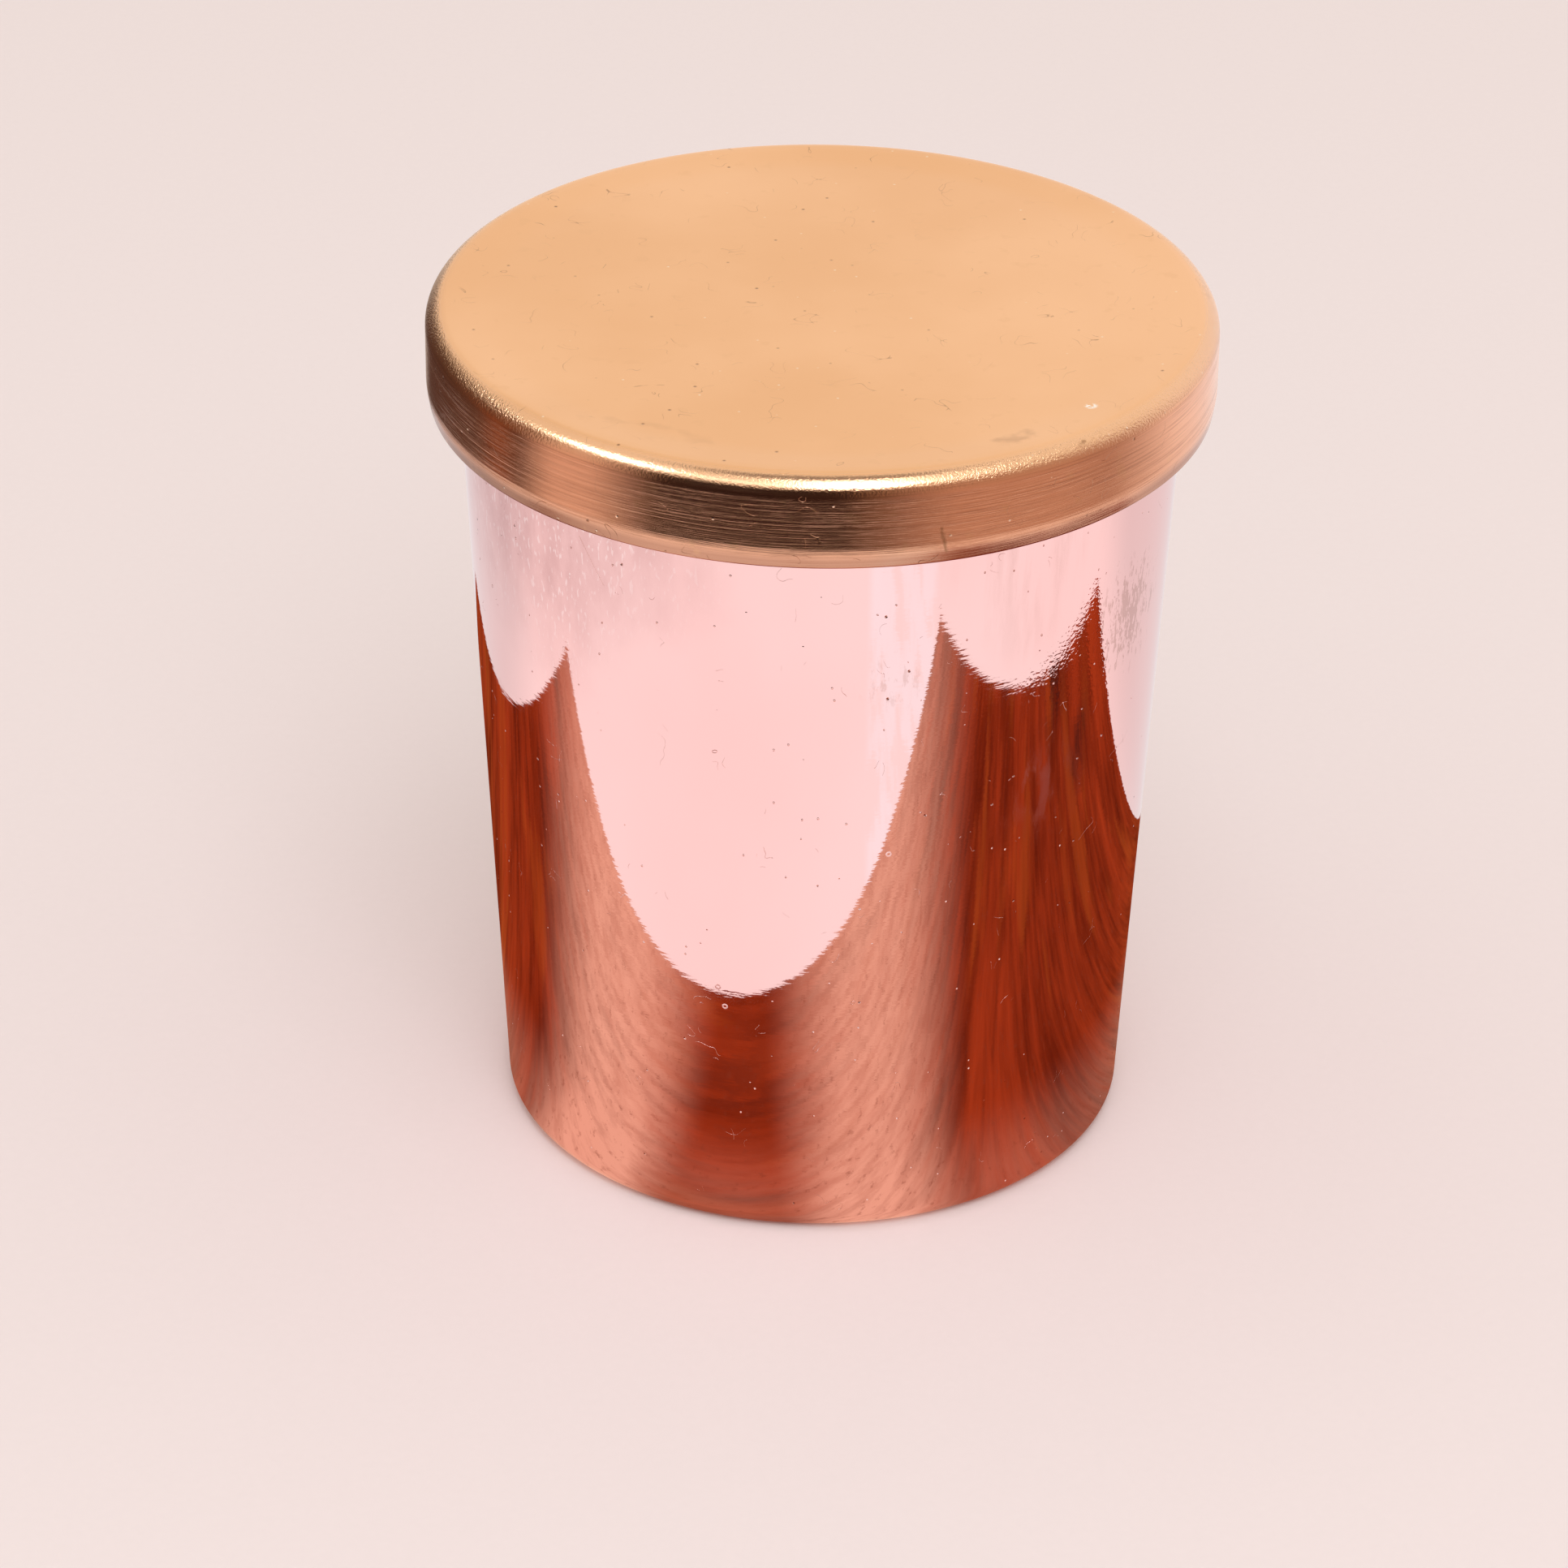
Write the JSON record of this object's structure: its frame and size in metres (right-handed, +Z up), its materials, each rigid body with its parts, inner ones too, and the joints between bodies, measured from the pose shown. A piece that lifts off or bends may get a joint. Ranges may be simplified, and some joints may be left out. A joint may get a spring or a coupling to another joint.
{
  "type": "tea caddy",
  "caption": "Round tapered tea caddy: mirror-plated copper glass jar with an overhanging brushed copper cap, held by a plug cup and a soft finned seal ring.",
  "frame": {"origin": "centre of the ring face the caddy stands on, on the jar's axis", "axes": "+Z up along the jar's axis; the caddy is round, so X and Y are any two directions across it"},
  "size_m": [0.0886, 0.0886, 0.1],
  "materials": {
    "plated_glass": "copper-plated glass, mirror polish",
    "brushed_copper": "copper-plated pressed steel, satin brushed round the axis",
    "pressed_copper": "copper-plated pressed steel, dull as pressed",
    "seal_silicone": "translucent soft silicone"
  },
  "bodies": {
    "jar": {"jar_body": "plated_glass"},
    "seal": {"seal_ring": "seal_silicone"},
    "lid": {"lid_shell": "brushed_copper", "lid_inner_cup": "pressed_copper"}
  },
  "joints": [
    {"name": "lid_lift", "type": "slide", "parent": "jar", "child": "seal", "axis": [0, 0, 1], "range_m": [0, 0.08]},
    {"name": "lid_turn", "type": "hinge", "parent": "seal", "child": "lid", "pos_m": [0, 0, 0.0989], "axis": [0, 0, 1], "continuous": true}
  ]
}
